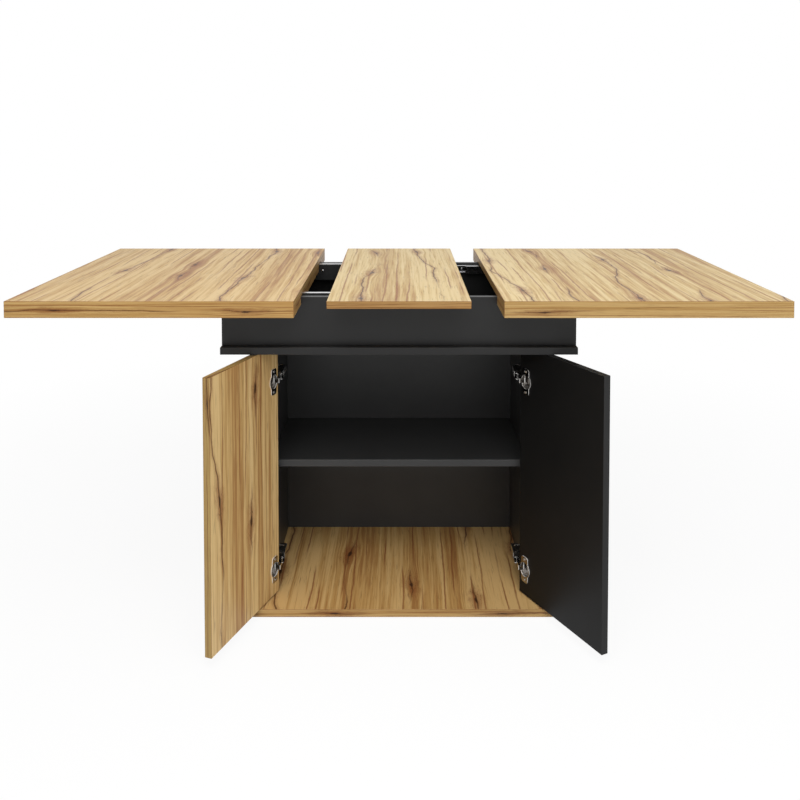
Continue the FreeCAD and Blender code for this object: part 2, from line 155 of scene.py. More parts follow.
def newGroup(name, given, made):
    tree = bpy.data.node_groups.new(name, "ShaderNodeTree")
    for label, kind in given.items():
        tree.interface.new_socket(label, in_out="INPUT", socket_type="NodeSocket" + kind)
    for label, kind in made.items():
        tree.interface.new_socket(label, in_out="OUTPUT", socket_type="NodeSocket" + kind)
    return tree, tree.nodes.new("NodeGroupInput"), tree.nodes.new("NodeGroupOutput")


def useGroup(tree, group, inputs):
    return addNode(tree, "ShaderNodeGroup", {"node_tree": group}, inputs).outputs


# lines that run along the oak's fibres

splitForm = {
    "stride": 13.73,  # sets the noise of one strip apart from the next
    "swing": {"repeats": 1.7, "detail": 5.0, "depth": 0.0},  # repeats per metre along
    "open": {"repeats": 2.3, "detail": 2.0, "depth": 4.7},
    "stagger": 5.0,  # how many pitches the knots of one strip may be moved along
    "knotRoom": 0.5,  # share of its pitch in which a knot may lie
    "knotFrom": 0.25,  # where that room starts in the pitch
}


def makeSplitGroup():
    # lines that wander along the fibres, one to each strip, with knots strung on them
    tree, given, made = newGroup(
        "splitLines",
        {"Vector": "Vector", "Spacing": "Float", "Wander": "Float", "Pitch": "Float", "Seed": "Float"},
        {"Aside": "Float", "Along": "Float", "Luck": "Float", "KnotLuck": "Float", "Open": "Float"})
    get = given.outputs
    place = axesOf(tree, get["Vector"])
    across = calc(tree, "ADD", calc(tree, "DIVIDE", place["X"], get["Spacing"]), get["Seed"])
    strip = calc(tree, "MULTIPLY_ADD", calc(tree, "FLOOR", across), splitForm["stride"], get["Seed"])

    def alongNoise(repeats, detail, depth):
        return noise(tree, trio(tree, strip, times(tree, place["Y"], repeats), depth), detail)

    swing = times(tree, centred(tree, alongNoise(**splitForm["swing"])), get["Wander"])
    aside = calc(tree, "SUBTRACT", centred(tree, calc(tree, "FRACT", across)), swing)
    luck = addNode(tree, "ShaderNodeTexWhiteNoise", {"noise_dimensions": "1D"}, {"W": strip})
    steps = calc(tree, "MULTIPLY_ADD", luck.outputs["Value"], splitForm["stagger"],
                 calc(tree, "DIVIDE", place["Y"], get["Pitch"]))
    toss = addNode(tree, "ShaderNodeTexWhiteNoise", {"noise_dimensions": "2D"}, {
        "Vector": trio(tree, strip, calc(tree, "FLOOR", steps))})
    tossed = addNode(tree, "ShaderNodeSeparateColor", None, {"Color": toss.outputs["Color"]}).outputs
    middle = calc(tree, "MULTIPLY_ADD", tossed[0], splitForm["knotRoom"], splitForm["knotFrom"])
    along = calc(tree, "SUBTRACT", calc(tree, "FRACT", steps), middle)
    results = {
        "Aside": times(tree, aside, get["Spacing"]), "Along": times(tree, along, get["Pitch"]),
        "Luck": luck.outputs["Value"], "KnotLuck": tossed[1], "Open": alongNoise(**splitForm["open"])}
    for label, value in results.items():
        feed(tree, made.inputs[label], value)
    return tree


# grain: the oak decor, with x across the fibres and y along them

oakFigure = {
    "shades": {
        "pale": (0.570, 0.405, 0.190), "straw": (0.450, 0.288, 0.112), "tan": (0.325, 0.172, 0.062),
        "rust": (0.200, 0.068, 0.024), "umber": (0.085, 0.035, 0.014), "bark": (0.030, 0.013, 0.007)},
    "noises": {  # repeats per metre across, along and in depth, then detail and roughness
        "sway": ((1.6, 0.9, 1.0), 2.0, 0.5), "ragged": ((150.0, 45.0, 1.0), 3.0, 0.6),
        "broad": ((9.0, 0.30, 5.0), 2.0, 0.5), "bands": ((70.0, 0.80, 6.0), 3.0, 0.6),
        "fibres": ((190.0, 5.0, 9.0), 4.0, 0.65), "pores": ((430.0, 15.0, 9.0), 2.0, 0.5)},
    "plank": 0.088,  # width of one stave, in metres
    "sway": 0.014,  # how far the fibres swing sideways, in metres
    "bulge": 0.012,  # how far a knot pushes them aside
    "bulgeSoft": 0.006,  # metres from the knot's middle at which the push is half of that
    "tone": {"bands": 0.55, "broad": 0.45, "staves": 0.07, "fibres": 0.37},  # weight of each
    "layers": (  # pattern, where it starts and where it is full, its share and its shade
        ("tone", 0.45, 0.58, 1.0, "pale"), ("tone", 0.47, 0.37, 1.0, "tan"),
        ("bands", 0.38, 0.27, 0.30, "rust"), ("fibres", 0.46, 0.26, 0.45, "tan"),
        ("pores", 0.40, 0.27, 0.46, "umber")),
    "marks": (  # what lies over the layers, its share and its shade
        ("hairs", 0.80, "rust"), ("stain", 0.42, "rust"), ("halo", 0.50, "rust"),
        ("specks", 0.62, "umber"), ("crack", 0.90, "umber"), ("heart", 0.85, "bark"),
        ("arris", 0.55, "rust")),
    "relief": {"fibres": 0.6, "hollow": 0.5},
    "gloss": (0.2, 0.8, 0.50, 0.38),  # fibres from and to, and the roughness there
}
knots = {  # sizes in metres across and along; edges in those sizes, from outside to inside
    "rareness": 0.30,  # share of the places for a knot that stay empty
    "heart": {"size": (0.0065, 0.016), "ragged": 2.4, "edge": (1.0, 0.35)},
    "halo": {"size": (0.024, 0.075), "ragged": 1.6, "edge": (1.1, 0.15)},
    "near": {"size": (0.050, 0.110), "ragged": 0.0, "edge": (1.0, 0.0)},
}
cracks = {  # width, ragged and least in metres; edge and stain in widths
    "lines": {"Spacing": 0.150, "Wander": 1.35, "Pitch": 0.34, "Seed": 3.3},
    "rareness": 0.22,  # share of the strips that have no crack
    "open": (0.40, 0.50),  # noise along a strip at which a crack starts and is full
    "width": 0.0016, "ragged": 0.0034, "least": 0.0004, "edge": (1.5, 0.5), "stain": (7.0, 0.0),
}
hairs = {
    "lines": {"Spacing": 0.024, "Wander": 1.6, "Pitch": 0.30, "Seed": 8.1},
    "open": (0.46, 0.57), "width": 0.0005, "ragged": 0.0030, "edge": (1.5, 0.2),
}
specks = {
    "repeats": (620.0, 130.0, 1.0),  # cells per metre across, along and in depth
    "size": (0.45, 1.0, 0.0, 0.42),  # luck from and to, and the size of a speck there, in cells
    "edge": (0.02, -0.12),  # distance past that size where a speck starts and is full
    "inStain": 0.6,  # how strongly a stain shows them, next to 1 in a halo
}


def makeOakGroup(splitGroup):
    figure = oakFigure
    tree, given, made = newGroup(
        "oakFigure", {"Vector": "Vector", "Offset": "Vector", "Tint": "Color", "Arris": "Float"},
        {"Colour": "Color", "Roughness": "Float", "Height": "Float"})
    place = vectorCalc(tree, "ADD", given.outputs["Vector"], given.outputs["Offset"])

    def pattern(name, vector):
        repeats, detail, roughness = figure["noises"][name]
        return noise(tree, vectorCalc(tree, "MULTIPLY", vector, repeats), detail, roughness)

    def moved(vector, aside):
        return vectorCalc(tree, "ADD", vector, trio(tree, aside))

    place = moved(place, times(tree, centred(tree, pattern("sway", place)), 2.0 * figure["sway"]))
    split = useGroup(tree, splitGroup, {"Vector": place, **cracks["lines"]})
    hair = useGroup(tree, splitGroup, {"Vector": place, **hairs["lines"]})
    ragged = pattern("ragged", place)
    roughen = centred(tree, ragged)
    across = calc(tree, "ABSOLUTE", split["Aside"])
    along = calc(tree, "ABSOLUTE", split["Along"])
    hasKnot = calc(tree, "GREATER_THAN", split["KnotLuck"], knots["rareness"])

    def around(part):  # 1 within a part of the knot, 0 beyond it
        size = knots[part]["size"]
        squares = [calc(tree, "POWER", calc(tree, "DIVIDE", way, reach), 2.0)
                   for way, reach in zip((across, along), size)]
        away = calc(tree, "POWER", calc(tree, "ADD", *squares), 0.5)
        away = calc(tree, "ADD", away, times(tree, roughen, knots[part]["ragged"]))
        return times(tree, fade(tree, away, *knots[part]["edge"]), hasKnot)

    heart, halo, near = around("heart"), around("halo"), around("near")
    push = calc(tree, "DIVIDE", split["Aside"], calc(tree, "ADD", across, figure["bulgeSoft"]))
    bent = moved(place, times(tree, times(tree, push, near), -figure["bulge"]))

    # the even grain
    patterns = {name: pattern(name, bent) for name in ("broad", "bands", "fibres", "pores")}
    plank = calc(tree, "FLOOR", calc(tree, "DIVIDE", axesOf(tree, bent)["X"], figure["plank"]))
    stave = addNode(tree, "ShaderNodeTexWhiteNoise", {"noise_dimensions": "1D"}, {"W": plank})
    weights = figure["tone"]
    tone = times(tree, patterns["broad"], weights["broad"])
    tone = calc(tree, "MULTIPLY_ADD", patterns["bands"], weights["bands"], tone)
    tone = calc(tree, "MULTIPLY_ADD", centred(tree, stave.outputs["Value"]), weights["staves"], tone)
    tone = calc(tree, "MULTIPLY_ADD", centred(tree, patterns["fibres"]), weights["fibres"], tone)
    patterns["tone"] = tone
    shades = {name: opaque(shade) for name, shade in figure["shades"].items()}
    colour = shades["straw"]
    for name, start, full, share, shade in figure["layers"]:
        layer = fade(tree, patterns[name], start, full, 0.0, share)
        colour = mixed(tree, layer, colour, shades[shade])

    # hair lines, cracks with their stains, and specks
    hairWidth = calc(tree, "MULTIPLY_ADD", ragged, hairs["ragged"], hairs["width"])
    hairLine = calc(tree, "DIVIDE", calc(tree, "ABSOLUTE", hair["Aside"]), hairWidth)
    hairShown = times(tree, fade(tree, hair["Open"], *hairs["open"]), fade(tree, hairLine, *hairs["edge"]))
    isCracked = calc(tree, "GREATER_THAN", split["Luck"], cracks["rareness"])
    shown = times(tree, fade(tree, split["Open"], *cracks["open"]), isCracked)
    shown = calc(tree, "MAXIMUM", shown, near)
    width = calc(tree, "MULTIPLY_ADD", roughen, cracks["ragged"], cracks["width"])
    line = calc(tree, "DIVIDE", across, calc(tree, "MAXIMUM", width, cracks["least"]))
    crack = times(tree, fade(tree, line, *cracks["edge"]), shown)
    stain = times(tree, fade(tree, line, *cracks["stain"]), shown)
    cells = addNode(tree, "ShaderNodeTexVoronoi", {"voronoi_dimensions": "2D"}, {
        "Vector": vectorCalc(tree, "MULTIPLY", bent, specks["repeats"]), "Scale": 1.0, "Randomness": 1.0})
    luck = addNode(tree, "ShaderNodeSeparateColor", None, {"Color": cells.outputs["Color"]})
    inside = calc(tree, "SUBTRACT", cells.outputs["Distance"],
                  fade(tree, luck.outputs[0], *specks["size"]))
    speckled = calc(tree, "MAXIMUM", halo, times(tree, stain, specks["inStain"]))
    marks = {
        "hairs": hairShown, "stain": stain, "halo": halo, "crack": crack, "heart": heart,
        "specks": times(tree, fade(tree, inside, *specks["edge"]), speckled),
        "arris": given.outputs["Arris"]}
    for name, share, shade in figure["marks"]:
        colour = mixed(tree, times(tree, marks[name], share), colour, shades[shade])

    hollow = times(tree, calc(tree, "MAXIMUM", crack, heart), figure["relief"]["hollow"])
    ridges = times(tree, patterns["fibres"], figure["relief"]["fibres"])
    feed(tree, made.inputs["Colour"], tinted(tree, colour, given.outputs["Tint"]))
    feed(tree, made.inputs["Height"], calc(tree, "SUBTRACT", ridges, hollow))
    feed(tree, made.inputs["Roughness"], fade(tree, patterns["fibres"], *figure["gloss"]))
    return tree


# boards: how the figure lies on each face

squareOn = 0.6  # how much of a normal lies along an axis where a face looks that way
chamferEdge = (0.92, 0.80)  # largest part of a normal where a chamfer starts and where it is full
boardAxes = {  # order of a board's own axes across, along and through the figure
    "lying": {"broad": (0, 1, 2), "long": (1, (2, 0, 1)), "short": (0, (2, 1, 0))},
    "standing": {"broad": (0, 2, 1), "long": (0, (1, 2, 0)), "short": (2, (1, 0, 2))},
}  # the entries for the long and short edges start with the axis that those faces look along


def looksAlong(tree, normals, axis):  # 1 on the faces that look along the axis
    return calc(tree, "GREATER_THAN", calc(tree, "ABSOLUTE", normals[axis]), squareOn)


def makeArrisGroup():  # 1 on the small chamfers between the square faces of a board
    tree, given, made = newGroup("arris", {"Normal": "Vector"}, {"Value": "Float"})
    parts = axesOf(tree, vectorCalc(tree, "ABSOLUTE", given.outputs["Normal"]))
    most = calc(tree, "MAXIMUM", calc(tree, "MAXIMUM", parts["X"], parts["Y"]), parts["Z"])
    feed(tree, made.inputs["Value"], fade(tree, most, *chamferEdge))
    return tree


def makeBoardGroup(name, oakGroup, arrisGroup, broad, long, short):
    # turns a board's own axes so that x runs across the fibres and y along them, face by face
    tree, given, made = newGroup(name, {
        "Vector": "Vector", "Normal": "Vector", "Offset": "Vector", "Tint": "Color",
        "Edge Scale": "Float", "Edge Tint": "Color"},
        {"Colour": "Color", "Roughness": "Float", "Height": "Float"})
    get = given.outputs
    place, normals = axesOf(tree, get["Vector"]), axesOf(tree, get["Normal"])

    def turned(order, scale=1.0):
        across, along, through = [place[axis] for axis in order]
        return trio(tree, times(tree, across, scale), along, through)

    longEdge, shortEdge = looksAlong(tree, normals, long[0]), looksAlong(tree, normals, short[0])
    picked = mixedVector(tree, longEdge, turned(broad), turned(long[1], get["Edge Scale"]))
    picked = mixedVector(tree, shortEdge, picked, turned(short[1], get["Edge Scale"]))
    onEdge = calc(tree, "MAXIMUM", longEdge, shortEdge)
    oak = useGroup(tree, oakGroup, {
        "Vector": picked, "Offset": get["Offset"],
        "Tint": mixed(tree, onEdge, get["Tint"], get["Edge Tint"]),
        "Arris": useGroup(tree, arrisGroup, {"Normal": get["Normal"]})["Value"]})
    for label in ("Colour", "Roughness", "Height"):
        feed(tree, made.inputs[label], oak[label])
    return tree


# fine texture that the smooth finishes share

fineTextures = {  # span is where the noise reaches the low and the high value
    "speckle": {"detail": 4.0, "roughness": 0.6, "span": (0.3, 0.7)},
    "brushed": {"detail": 3.0, "roughness": 0.7, "span": (0.25, 0.75)},
}


def makeTextureGroup(name, detail, roughness, span):
    tree, given, made = newGroup(
        name, {"Vector": "Vector", "Stretch": "Vector", "Low": "Float", "High": "Float"},
        {"Value": "Float", "Height": "Float"})
    get = given.outputs
    grain = noise(tree, vectorCalc(tree, "MULTIPLY", get["Vector"], get["Stretch"]), detail, roughness)
    value = addNode(tree, "ShaderNodeMapRange", None, {
        "Value": grain, "From Min": span[0], "From Max": span[1],
        "To Min": get["Low"], "To Max": get["High"]})
    feed(tree, made.inputs["Value"], value.outputs["Result"])
    feed(tree, made.inputs["Height"], grain)
    return tree


# pressed hinge cups

cupNickel = {
    # the rim colour and its lower metallic paint a highlight where the flange's edges catch the light
    "face": (0.38, 0.36, 0.34), "rim": (0.90, 0.88, 0.85), "rimHighlightMetallic": 0.35,
    "rimDepth": 0.0012,  # metres from the flange's face to its underside
    "bowlHighlightShare": 0.30,  # how much of the rim's painted highlight the bowl's wall has
    "rimTurns": (0.7, 0.3),  # part of the normal along the cup's axis, where a rim starts and is full
    "bowlStarts": (1.9, 1.1),  # how far down in rim depths a wall is the bowl's, and still the rim's
}


def makeRimHighlightGroup():  # where the painted highlight lies: 1 on the rims of a pressed flange, less on the wall of its bowl
    tree, given, made = newGroup(
        "rimHighlights",
        {"Vector": "Vector", "Normal": "Vector", "Face": "Float", "Depth": "Float", "Bowl": "Float"},
        {"Value": "Float"})
    get = given.outputs
    facing = calc(tree, "ABSOLUTE", axesOf(tree, get["Normal"])["Y"])
    below = calc(tree, "SUBTRACT", get["Face"], axesOf(tree, get["Vector"])["Y"])
    below = calc(tree, "DIVIDE", below, get["Depth"])
    shallow = fade(tree, below, *cupNickel["bowlStarts"], get["Bowl"], 1.0)
    feed(tree, made.inputs["Value"], times(tree, fade(tree, facing, *cupNickel["rimTurns"]), shallow))
    return tree


oakGroup = makeOakGroup(makeSplitGroup())
groups = {"arris": makeArrisGroup(), "rimHighlights": makeRimHighlightGroup()}
for name, order in boardAxes.items():
    groups[name] = makeBoardGroup(name + "Oak", oakGroup, groups["arris"], **order)
for name, form in fineTextures.items():
    groups[name] = makeTextureGroup(name, **form)
print("pattern groups built")


# materials

def newMaterial(name, settings):
    material = bpy.data.materials.new(name)
    material.use_nodes = True
    tree = material.node_tree
    shader = tree.nodes["Principled BSDF"]
    for label, value in settings.items():
        shader.inputs[label].default_value = value
    return material, tree, shader


def wire(tree, shader, colour, roughness, height, bump):  # bump is a strength and a distance
    relief = addNode(tree, "ShaderNodeBump", None, {
        "Height": height, "Strength": bump[0], "Distance": bump[1]})
    tree.links.new(colour, shader.inputs["Base Color"])
    tree.links.new(roughness, shader.inputs["Roughness"])
    tree.links.new(relief.outputs["Normal"], shader.inputs["Normal"])


def turnedBack(tree, kind, source, turn):  # the place or normal that a turned piece has when closed
    coords = addNode(tree, "ShaderNodeTexCoord")
    mapping = addNode(tree, "ShaderNodeMapping", {"vector_type": kind}, {
        "Vector": coords.outputs[source], "Rotation": (0.0, 0.0, turn)})
    return mapping.outputs[0]


def fineTexture(tree, kind, stretch, low=0.0, high=1.0):  # stretch is repeats per metre
    coords = addNode(tree, "ShaderNodeTexCoord")
    return useGroup(tree, groups[kind], {
        "Vector": coords.outputs["Object"], "Stretch": stretch, "Low": low, "High": high})


def evenly(repeats):
    return (repeats,) * 3


oakSurface = {
    "specular": 0.20, "bump": (0.35, 0.0004),
    "edgeScale": 2.6,  # how much finer the figure is on the edge bands than on the faces
}


def oakMaterial(name, offset, tint, edgeTint, axes="lying", turn=0.0):
    material, tree, shader = newMaterial(name, {"Specular IOR Level": oakSurface["specular"]})
    oak = useGroup(tree, groups[axes], {
        "Vector": turnedBack(tree, "POINT", "Object", turn),
        "Normal": turnedBack(tree, "NORMAL", "Normal", turn),
        "Offset": offset, "Tint": opaque(tint),
        "Edge Scale": oakSurface["edgeScale"], "Edge Tint": opaque(edgeTint)})
    wire(tree, shader, oak["Colour"], oak["Roughness"], oak["Height"], oakSurface["bump"])
    return material


darkSurface = {
    "clouds": (0.94, 1.12),  # brightness of their dark and their light parts
    "cloudRepeats": 9.0, "pebbleRepeats": 1400.0,  # per metre
    "wearAndHighlightLift": 3.2,  # brightness of the arrises: partly real edge wear, partly a painted highlight
    "roughness": (0.36, 0.46), "bump": (0.12, 0.00005),
}


def darkBoardMaterial(name, level, turn=0.0, specular=0.36, edgeLift=1.0):
    # edgeLift brightens the faces that look along the board's own x
    material, tree, shader = newMaterial(name, {"Specular IOR Level": specular})
    normal = turnedBack(tree, "NORMAL", "Normal", turn)
    pebble = fineTexture(
        tree, "speckle", evenly(darkSurface["pebbleRepeats"]), *darkSurface["roughness"])
    cloud = fineTexture(tree, "speckle", evenly(darkSurface["cloudRepeats"]))
    darker, lighter = [opaque(evenly(level), lift) for lift in darkSurface["clouds"]]
    colour = mixed(tree, cloud["Value"], darker, lighter)
    onEdge = looksAlong(tree, axesOf(tree, normal), "X")
    colour = mixed(tree, onEdge, colour, tinted(tree, colour, opaque(evenly(edgeLift))))
    arris = useGroup(tree, groups["arris"], {"Normal": normal})
    # arrises made brighter: partly edge wear, partly a painted highlight
    colour = mixed(tree, arris["Value"], colour, opaque(evenly(level), darkSurface["wearAndHighlightLift"]))
    wire(tree, shader, colour, pebble["Value"], pebble["Height"], darkSurface["bump"])
    return material


driftScale = 6.0  # how much broader the drift of a speckled colour is than its speckle


def speckledMaterial(name, colour, lift, roughness, repeats, bump, settings):
    # colour drifts up by lift where the speckle is bright
    material, tree, shader = newMaterial(name, settings)
    speckle = fineTexture(tree, "speckle", evenly(repeats), *roughness)
    drift = fineTexture(tree, "speckle", evenly(repeats / driftScale))
    shade = mixed(tree, drift["Value"], opaque(colour), opaque(colour, lift))
    wire(tree, shader, shade, speckle["Value"], speckle["Height"], bump)
    return material


dulling = {"repeats": 90.0, "level": 0.82}  # clouds of duller metal, per metre, and how bright


def metalMaterial(name, colour, roughness, stretch, bump):
    material, tree, shader = newMaterial(name, {"Metallic": 1.0})
    lines = fineTexture(tree, "brushed", stretch, *roughness)
    cloud = fineTexture(tree, "speckle", evenly(dulling["repeats"]))
    shade = mixed(tree, cloud["Value"], opaque(colour), opaque(colour, dulling["level"]))
    wire(tree, shader, shade, lines["Value"], lines["Height"], bump)
    return material


nickelSurface = {"roughness": (0.12, 0.24), "stretch": (900.0, 900.0, 60.0), "bump": (0.10, 0.00003)}


def cupMaterial(name, side, turn):
    # pressed nickel, with a painted highlight on the rims of the flange and a weaker one on the wall of its bowl
    material, tree, shader = newMaterial(name, {})
    cups = nodes[side + "_hinge_cups"]
    corners = [cups.matrix_world @ corner.co for corner in cups.data.vertices]
    faceAt = max(corner.x * math.sin(turn) + corner.y * math.cos(turn) for corner in corners)
    rim = useGroup(tree, groups["rimHighlights"], {
        "Vector": turnedBack(tree, "POINT", "Object", turn),
        "Normal": turnedBack(tree, "NORMAL", "Normal", turn),
        "Face": faceAt, "Depth": cupNickel["rimDepth"], "Bowl": cupNickel["bowlHighlightShare"]})
    lines = fineTexture(tree, "brushed", nickelSurface["stretch"], *nickelSurface["roughness"])
    # painted highlight: the rims turn bright and less metallic
    shade = mixed(tree, rim["Value"], opaque(cupNickel["face"]), opaque(cupNickel["rim"]))
    metallic = fade(tree, rim["Value"], 0.0, 1.0, 1.0, cupNickel["rimHighlightMetallic"])
    tree.links.new(metallic, shader.inputs["Metallic"])
    wire(tree, shader, shade, lines["Value"], lines["Height"], nickelSurface["bump"])
    return material


doorTurns = {  # radians that close each door from where it stands at rest
    "left": math.radians(joints["left_door_hinge"]["range_deg"][1]),
    "right": math.radians(joints["right_door_hinge"]["range_deg"][0]),
}
oakLooks = {
    "leftHalfOak": {
        "offset": (3.1, 1.7, 0.2), "tint": (1.0, 1.0, 1.0), "edgeTint": (0.82, 0.75, 0.63)},
    "rightHalfOak": {
        "offset": (7.45, 4.2, 0.9), "tint": (1.08, 1.17, 1.26), "edgeTint": (0.73, 0.68, 0.58)},
    "leafOak": {
        "offset": (11.2, 6.4, 1.6), "tint": (1.04, 1.12, 1.20), "edgeTint": (0.58, 0.47, 0.36)},
    "baseOak": {
        "offset": (15.6, 9.1, 2.2), "tint": (1.08, 0.98, 0.86), "edgeTint": (0.78, 0.71, 0.61)},
    # the door's tint lifts its oak: painted light on its inner face, which stands in shade
    "doorOak": {
        "offset": (19.3, 2.6, 2.9), "tint": (1.12, 1.12, 1.12), "edgeTint": (0.67, 0.63, 0.49),
        "axes": "standing", "turn": doorTurns["left"]},
}
darkLooks = {
    "anthracite": {"level": 0.0110},
    # the right door: a darker copy of the anthracite, painted shade on its inner face; edgeLift brightens its
    # edges
    "doorAnthracite": {
        "level": 0.0080, "turn": doorTurns["right"], "specular": 0.12, "edgeLift": 2.4},
    # lighter copies of the anthracite inside the cabinet: painted light on the shelf and side panels; on the back
    # panel partly its own lighter grey, partly painted light
    "innerAnthracite": {"level": 0.0290},
    "backAnthracite": {"level": 0.0375},
}
speckledLooks = {
    "battenBlack": {
        "colour": (0.012, 0.012, 0.012), "lift": 1.5, "roughness": (0.50, 0.68), "repeats": 700.0,
        "bump": (0.25, 0.0002), "settings": {"Specular IOR Level": 0.30}},
    "glideBlack": {
        "colour": (0.010, 0.010, 0.010), "lift": 1.3, "roughness": (0.45, 0.60), "repeats": 2500.0,
        "bump": (0.20, 0.0001), "settings": {"Specular IOR Level": 0.40}},
    "feltGrey": {
        "colour": (0.016, 0.015, 0.014), "lift": 2.2, "roughness": (0.90, 1.00), "repeats": 1800.0,
        "bump": (0.90, 0.0006), "settings": {"Sheen Weight": 0.6}},
}
metalLooks = {
    "zincSteel": {
        "colour": (0.95, 0.95, 0.96), "roughness": (0.10, 0.20),
        "stretch": (14.0, 1500.0, 1500.0), "bump": (0.15, 0.00004)},
    "brightNickel": {"colour": (0.70, 0.69, 0.67), **nickelSurface},
    "satinStrip": {
        "colour": (0.86, 0.86, 0.87), "roughness": (0.20, 0.32),
        "stretch": (10.0, 2200.0, 2200.0), "bump": (0.12, 0.00003)},
}
cupLooks = {side + "CupNickel": {"side": side, "turn": turn} for side, turn in doorTurns.items()}

finishes = {}
for makeMaterial, looks in (
        (oakMaterial, oakLooks), (darkBoardMaterial, darkLooks), (speckledMaterial, speckledLooks),
        (metalMaterial, metalLooks), (cupMaterial, cupLooks)):
    for name, look in looks.items():
        finishes[name] = makeMaterial(name, **look)
print("materials built:", len(finishes))


nodeFinish = {
    "left_half_board": "leftHalfOak", "left_edge_strips": "leftHalfOak",
    "right_half_board": "rightHalfOak", "right_edge_strips": "rightHalfOak",
    "extension_leaf": "leafOak", "base_plate": "baseOak", "left_door": "doorOak",
    "leaf_felt_pads": "feltGrey", "base_glides": "glideBlack",
    "left_bearers": "battenBlack", "right_bearers": "battenBlack",
    "tongue_glide_strips": "satinStrip", "shelf_pins": "brightNickel",
    "right_door": "doorAnthracite", "back_panel": "backAnthracite", "shelf": "innerAnthracite",
    "left_side_panel": "innerAnthracite", "right_side_panel": "innerAnthracite",
}
for name, node in nodes.items():
    if name in nodeFinish:
        finish = nodeFinish[name]
    elif name.endswith("hinge_cups"):
        finish = name.split("_")[0] + "CupNickel"
    elif "hinge" in name:
        finish = "brightNickel"
    elif "slide" in name or "screws" in name:
        finish = "zincSteel"
    else:
        finish = "anthracite"
    for slot in node.material_slots:
        slot.material = finishes[finish]
print("nodes dressed")


# geometry node trees for what repeats

def newGeometryTree(name, given):
    tree = bpy.data.node_groups.new(name, "GeometryNodeTree")
    tree.interface.new_socket("Geometry", in_out="OUTPUT", socket_type="NodeSocketGeometry")
    for label, kind in given.items():
        tree.interface.new_socket(label, in_out="INPUT", socket_type="NodeSocket" + kind)
    return tree, tree.nodes.new("NodeGroupInput"), tree.nodes.new("NodeGroupOutput")


def shape(tree, kind, inputs, settings=None):  # the first output of a geometry node
    return addNode(tree, kind, settings, inputs).outputs[0]


def carved(tree, body, tool, crossing=False):  # body less tool, whose parts may cross
    return shape(
        tree, "GeometryNodeMeshBoolean",
        {"Mesh 1": body, "Mesh 2": tool, "Self Intersection": crossing},
        {"operation": "DIFFERENCE", "solver": "EXACT"})


def joined(tree, parts):
    both = addNode(tree, "GeometryNodeJoinGeometry")
    for part in parts:
        tree.links.new(part, both.inputs[0])
    return both.outputs[0]


def realized(tree, instances):
    return shape(tree, "GeometryNodeRealizeInstances", {"Geometry": instances})


def dressed(tree, geometry, material):
    return shape(tree, "GeometryNodeSetMaterial", {"Geometry": geometry, "Material": material})


headForm = {
    "sides": 28, "rings": 5,
    "roundness": 3.0,  # power by which the dome falls off towards the rim
    "barLength": 1.15,  # of the recess from end to end, in radii of the head
}


def makeScrewTree():
    # pan heads with a cross recess, their undersides on the points
    tree, given, made = newGeometryTree("crossHeads", {
        "Geometry": "Geometry", "Radius": "Float", "Length": "Float", "Dome": "Float",
        "Recess": "Float", "Depth": "Float", "Seed": "Int", "Material": "Material"})
    get = given.outputs
    rim = calc(tree, "SUBTRACT", get["Length"], get["Dome"])
    body = shape(tree, "GeometryNodeMeshCylinder", {
        "Vertices": headForm["sides"], "Side Segments": 1, "Fill Segments": headForm["rings"],
        "Radius": get["Radius"], "Depth": rim})
    spot = axesOf(tree, addNode(tree, "GeometryNodeInputPosition").outputs[0])
    squares = [calc(tree, "POWER", spot[axis], 2.0) for axis in ("X", "Y")]
    out = calc(tree, "DIVIDE", calc(tree, "SQRT", calc(tree, "ADD", *squares)), get["Radius"])
    fall = calc(tree, "POWER", out, headForm["roundness"])
    rise = times(tree, calc(tree, "SUBTRACT", 1.0, fall), get["Dome"])
    rise = times(tree, rise, calc(tree, "GREATER_THAN", spot["Z"], 0.0))
    lift = calc(tree, "ADD", rise, times(tree, rim, 0.5))
    domed = shape(tree, "GeometryNodeSetPosition", {"Geometry": body, "Offset": trio(tree, z=lift)})
    bar = times(tree, get["Radius"], headForm["barLength"])
    tall = times(tree, get["Depth"], 2.0)
    bars = []
    for size in (trio(tree, bar, get["Recess"], tall), trio(tree, get["Recess"], bar, tall)):
        bars.append(shape(tree, "GeometryNodeTransform", {
            "Geometry": shape(tree, "GeometryNodeMeshCube", {"Size": size}),
            "Translation": trio(tree, z=get["Length"])}))
    head = carved(tree, domed, joined(tree, bars), crossing=True)
    turn = addNode(tree, "GeometryNodeInputNamedAttribute", {"data_type": "FLOAT_VECTOR"}, {
        "Name": "turn"})
    heads = shape(tree, "GeometryNodeInstanceOnPoints", {
        "Points": get["Geometry"], "Instance": head, "Rotation": turn.outputs["Attribute"]})
    spin = addNode(tree, "FunctionNodeRandomValue", {"data_type": "FLOAT"}, {
        2: 0.0, 3: math.pi / 2, "Seed": get["Seed"]})  # sockets 2 and 3 are the least and the most
    turned = shape(tree, "GeometryNodeRotateInstances", {
        "Instances": heads, "Rotation": trio(tree, z=spin.outputs[1]), "Local Space": True})
    feed(tree, made.inputs["Geometry"], dressed(tree, realized(tree, turned), get["Material"]))
    return tree


cageForm = {
    "pitch": 0.0050, "thickness": 0.0008, "clearance": 0.0001,  # metres
    "holeSides": 20, "ballSubdivisions": 3,
}


